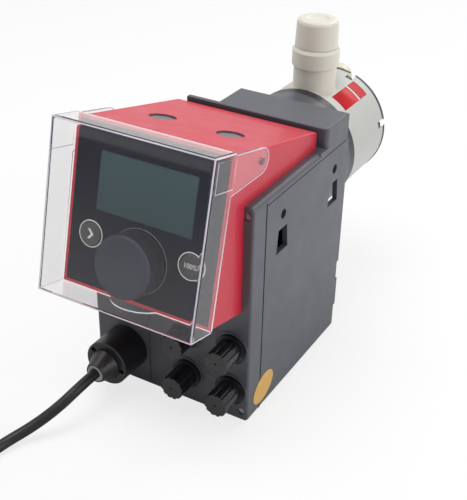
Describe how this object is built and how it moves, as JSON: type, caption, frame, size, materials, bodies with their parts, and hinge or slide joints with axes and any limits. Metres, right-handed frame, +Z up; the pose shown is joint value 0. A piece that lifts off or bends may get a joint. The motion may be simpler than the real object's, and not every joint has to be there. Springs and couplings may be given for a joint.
{
  "type": "diaphragm metering pump",
  "caption": "Motor-driven diaphragm metering pump with a tilted red control cube under a clear hinged lid, a dark housing, and a white dosing head with capped valves at the back.",
  "frame": {"origin": "middle of the housing's underside, between its side, front and back faces", "axes": "+X to the right seen from the front, +Y from the display towards the dosing head, +Z up"},
  "size_m": [0.2174, 0.436, 0.21],
  "materials": {
    "dark_plastic": "moulded black-grey housing",
    "black_plastic": "black moulded fittings",
    "seal_rubber": "light grey seal",
    "lead_rubber": "black cord sheath",
    "pin_metal": "plated pins",
    "red_plastic": "satin red",
    "lcd_glass": "grey-green display window",
    "grey_plastic": "grey moulding",
    "board": "circuit board",
    "clear_plastic": "clear lid",
    "steel": "steel",
    "white_plastic": "off-white moulding",
    "cream_plastic": "cream moulding",
    "membrane": "diaphragm facing",
    "ceramic": "ceramic ball",
    "cast_aluminium": "cast bracket",
    "bearing_bronze": "bronze bush",
    "motor_black": "laminated motor"
  },
  "bodies": {
    "housing": {"front_cover": "dark_plastic", "main_housing": "dark_plastic", "rear_top_cover": "dark_plastic", "front_screws": "steel", "signal_socket_1": "black_plastic", "signal_socket_2": "black_plastic", "signal_socket_3": "black_plastic", "signal_socket_4": "black_plastic", "socket_caps": "black_plastic", "gland_body": "black_plastic", "gland_nut": "black_plastic", "gland_seal": "seal_rubber", "mains_lead": "lead_rubber", "lead_coil": "lead_rubber", "plug_body": "black_plastic", "plug_pins": "pin_metal", "cube_shell": "red_plastic", "cube_frame": "red_plastic", "display_panel": "black_plastic", "lcd_window": "lcd_glass", "lcd_module": "grey_plastic", "control_board": "board", "encoder_body": "black_plastic", "top_plugs": "grey_plastic", "lid_hinge_pins": "steel", "diaphragm_flange": "black_plastic", "diaphragm": "membrane", "dosing_head": "white_plastic", "head_cover": "black_plastic", "head_screws": "steel", "discharge_valve_cartridge": "white_plastic", "discharge_union_nut": "white_plastic", "discharge_connection_cap": "white_plastic", "suction_valve_cartridge": "white_plastic", "suction_union_nut": "white_plastic", "suction_connection_cap": "white_plastic", "deaeration_nozzle": "cream_plastic", "gearbox_frame": "cast_aluminium", "stepper_motor": "motor_black", "shaft_bearings": "steel", "guide_bush": "bearing_bronze", "power_board": "board", "transformer": "motor_black"},
    "lid": {"clear_lid": "clear_plastic"},
    "wheel_push": {"wheel_plunger": "grey_plastic"},
    "wheel": {"click_wheel": "black_plastic", "wheel_spindle": "steel"},
    "start_button": {"start_stop_button": "grey_plastic"},
    "full_flow": {"full_flow_button": "grey_plastic"},
    "motor_rotor": {"motor_shaft": "steel", "motor_pinion": "steel"},
    "eccentric": {"eccentric_shaft": "steel", "eccentric_bearing": "steel", "drive_gear": "white_plastic"},
    "pump_rod": {"push_rod": "steel", "support_disc": "steel"},
    "vent_knob": {"deaeration_knob": "cream_plastic"},
    "discharge_valve": {"discharge_ball": "ceramic"},
    "suction_valve": {"suction_ball": "ceramic"}
  },
  "joints": [
    {"name": "lid_hinge", "type": "hinge", "parent": "housing", "child": "lid", "pos_m": [0, -0.049, 0.1833], "axis": [-1, 0, 0], "range_deg": [0, 110]},
    {"name": "wheel_press", "type": "slide", "parent": "housing", "child": "wheel_push", "axis": [0, 0.972, -0.2351], "range_m": [0, 0.001], "stiffness_N_per_m": 1500, "springref_m": -0.001},
    {"name": "wheel_turn", "type": "hinge", "parent": "wheel_push", "child": "wheel", "pos_m": [0, -0.09692, 0.12241], "axis": [0, 0.972, -0.2351], "continuous": true},
    {"name": "start_button_press", "type": "slide", "parent": "housing", "child": "start_button", "axis": [0, 0.972, -0.2351], "range_m": [0, 0.0008], "stiffness_N_per_m": 1500, "springref_m": -0.001},
    {"name": "full_flow_button_press", "type": "slide", "parent": "housing", "child": "full_flow", "axis": [0, 0.972, -0.2351], "range_m": [0, 0.0008], "stiffness_N_per_m": 1500, "springref_m": -0.001},
    {"name": "eccentric_turn", "type": "hinge", "parent": "housing", "child": "eccentric", "pos_m": [0, 0.02, 0.115], "axis": [1, 0, 0], "continuous": true},
    {"name": "motor_turn", "type": "hinge", "parent": "housing", "child": "motor_rotor", "pos_m": [0, 0.02, 0.085], "axis": [1, 0, 0], "continuous": true},
    {"name": "pump_stroke", "type": "slide", "parent": "housing", "child": "pump_rod", "axis": [0, 1, 0], "range_m": [-0.0015, 0.0015], "deforming": ["diaphragm"]},
    {"name": "vent_turn", "type": "hinge", "parent": "housing", "child": "vent_knob", "pos_m": [0, 0.177, 0.151], "axis": [0, 1, 0], "range_deg": [0, 360]},
    {"name": "discharge_ball_lift", "type": "slide", "parent": "housing", "child": "discharge_valve", "axis": [0, 0, 1], "range_m": [0, 0.002]},
    {"name": "suction_ball_lift", "type": "slide", "parent": "housing", "child": "suction_valve", "axis": [0, 0, 1], "range_m": [0, 0.002]}
  ],
  "couplings": [
    {"joint": "motor_turn", "follows": "eccentric_turn", "ratio": -3}
  ]
}
